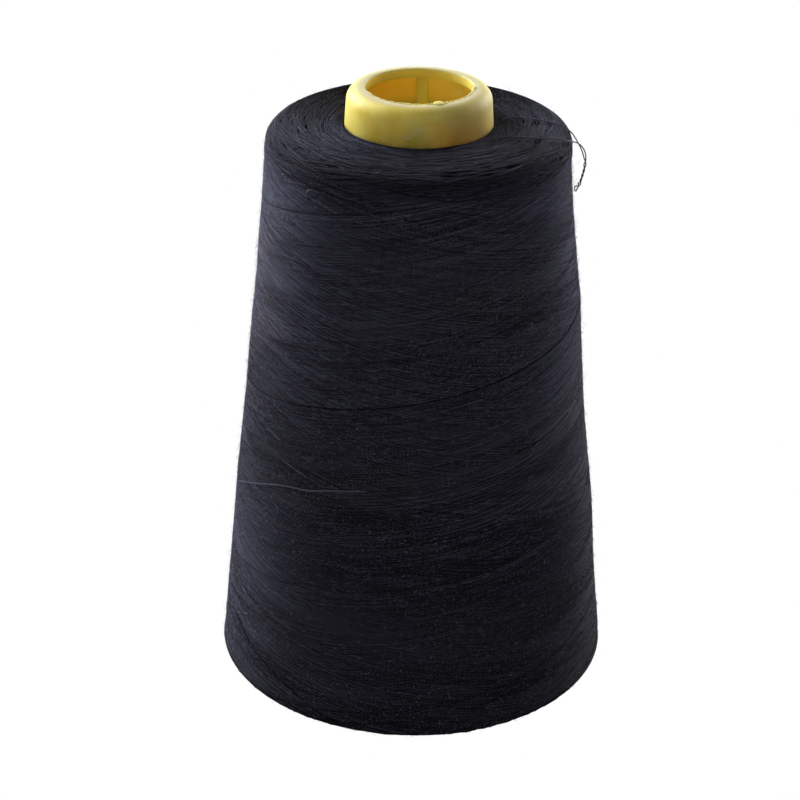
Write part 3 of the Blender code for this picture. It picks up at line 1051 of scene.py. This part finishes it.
def plasticMaterial():
    material, tree, shader = newMaterial("yellowPlastic")
    place = addNode(tree, "ShaderNodeTexCoord").outputs["Object"]
    inside = addNode(tree, "ShaderNodeAttribute", attribute_name="inside").outputs["Fac"]
    pale = addNode(tree, "ShaderNodeAttribute", attribute_name="pale").outputs["Fac"]
    split = addNode(tree, "ShaderNodeSeparateXYZ")
    tree.links.new(place, split.inputs[0])
    cloud = mapRange(tree, noiseAt(tree, place, 160.0, 4.0), 0.35, 0.70)
    color = mixValues(tree, cloud, plastic["yellow"], plastic["deepYellow"])
    # darker and browner towards the right of the front, in blotches
    toRight = mapRange(tree, split.outputs["X"], -0.006, 0.012)
    toFront = mapRange(tree, split.outputs["Y"], 0.004, -0.008)
    blotchy = mapRange(tree, noiseAt(tree, place, 70.0, 3.0), 0.30, 0.62, 0.35, 1.0)
    darkenedRight = calculate(tree, "MULTIPLY", calculate(tree, "MULTIPLY", toRight, toFront), blotchy)
    darkenedRight = calculate(tree, "MULTIPLY", darkenedRight, plastic["rightDarkeningShare"])
    color = mixValues(tree, darkenedRight, color, plastic["rightDarkening"])
    color = mixValues(tree, inside, color, plastic["amber"])
    # a real scuff at the front, and a painted highlight inside the bore, both mottled with noise
    for spot, turn, size, strength in plastic["scuffAndHighlight"]:
        mapping = addNode(tree, "ShaderNodeMapping", vector_type="TEXTURE")
        mapping.inputs["Location"].default_value = spot
        mapping.inputs["Rotation"].default_value = (0, math.radians(turn), 0)
        mapping.inputs["Scale"].default_value = size
        tree.links.new(place, mapping.inputs["Vector"])
        away = addNode(tree, "ShaderNodeVectorMath", operation="LENGTH")
        tree.links.new(mapping.outputs["Vector"], away.inputs[0])
        patch = mapRange(tree, away.outputs["Value"], 1.0, 0.3, 0.0, strength)
        patchMottle = mapRange(tree, noiseAt(tree, place, 900.0, 3.0), 0.20, 0.60)
        color = mixValues(tree, calculate(tree, "MULTIPLY", patch, patchMottle), color, plastic["scuffAndHighlightColor"])
    # painted highlight on the top face of the nose
    color = mixValues(tree, pale, color, plastic["edge"])
    specks = mapRange(tree, noiseAt(tree, place, 1300.0, 1.0), 0.76, 0.80, 0.0, 0.7)
    color = mixValues(tree, specks, color, plastic["speck"])
    tree.links.new(color, shader.inputs["Base Color"])
    bump = addNode(tree, "ShaderNodeBump", Strength=0.5, Distance=0.00012)
    tree.links.new(noiseAt(tree, place, 420.0, 4.0), bump.inputs["Height"])
    tree.links.new(bump.outputs["Normal"], shader.inputs["Normal"])
    # painted glow: emission on the plastic inside the bore, standing in for light shining through it,
    # stronger towards the right
    paintedGlowMask = addNode(tree, "ShaderNodeAttribute", attribute_name="paintedGlowMask").outputs["Fac"]
    paintedGlowStrength = mapRange(tree, split.outputs["X"], -0.012, 0.014, *plastic["glow"])
    tree.links.new(calculate(tree, "MULTIPLY", paintedGlowMask, paintedGlowStrength), shader.inputs["Emission Strength"])
    shader.inputs["Emission Color"].default_value = (*plastic["paintedGlowColor"], 1)
    shader.inputs["Roughness"].default_value = 0.55
    shader.inputs["Specular IOR Level"].default_value = 0.3
    shader.inputs["Subsurface Weight"].default_value = 0.35
    shader.inputs["Subsurface Radius"].default_value = (1.0, 0.7, 0.2)
    shader.inputs["Subsurface Scale"].default_value = 0.005
    return material


def makeCore():
    top = max(v.co.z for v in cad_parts["core"].data.vertices) / mm
    deselectAll()
    piece = turnRings("thread_core", coreRings(top), core["steps"])
    parts = [*addRibs(top), addNub(top), addFlash(top)]
    pick(piece)
    for part in parts:
        part.select_set(True)
    bpy.ops.object.join()
    corners = np.array([v.co for v in piece.data.vertices]) / mm
    radius, height = np.hypot(corners[:, 0], corners[:, 1]), corners[:, 2]
    depth = coreRadius(height, top) - radius
    behindWall = smoothStep(0.9, 1.3, depth)
    lipEnd = top - core["lip"]
    inside = behindWall * smoothStep(lipEnd + 0.2, lipEnd - 0.4, height)
    # painted highlight on the flat top of the nose, kept off the nub
    paintedTopHighlight = np.exp(-((height - top) / 0.35) ** 2) * smoothStep(18.3, 15.0, radius)
    paintedTopHighlight = paintedTopHighlight * smoothStep(13.7, 13.95, radius)
    # where the painted glow goes: round the bore and inside below the lip, fading out at the top edge
    paintedGlowMask = behindWall * smoothStep(core["bore"] + 4.0, core["bore"], radius)
    paintedGlowMask = np.maximum(paintedGlowMask, inside) * smoothStep(top - 0.1, top - 0.7, height)
    paintedGlowMask = paintedGlowMask * (0.25 + 0.75 * smoothStep(top - 15, top - 2, height))      # less painted glow deep down
    nubX, nubY = nubPlace()
    fromNub = np.hypot(corners[:, 0] - nubX, corners[:, 1] - nubY)
    paintedTopHighlight = paintedTopHighlight * smoothStep(1.5, 2.1, fromNub)
    pale = plastic["topHighlightShare"] * paintedTopHighlight
    storeValues(piece.data, (("inside", inside), ("paintedGlowMask", paintedGlowMask), ("pale", pale)))
    piece.data.materials.clear()
    piece.data.materials.append(plasticMaterial())
    for polygon in piece.data.polygons:
        polygon.material_index = 0
    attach(piece, "root")
    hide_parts("core")
    print("core", len(piece.data.polygons), "faces")


makeCore()
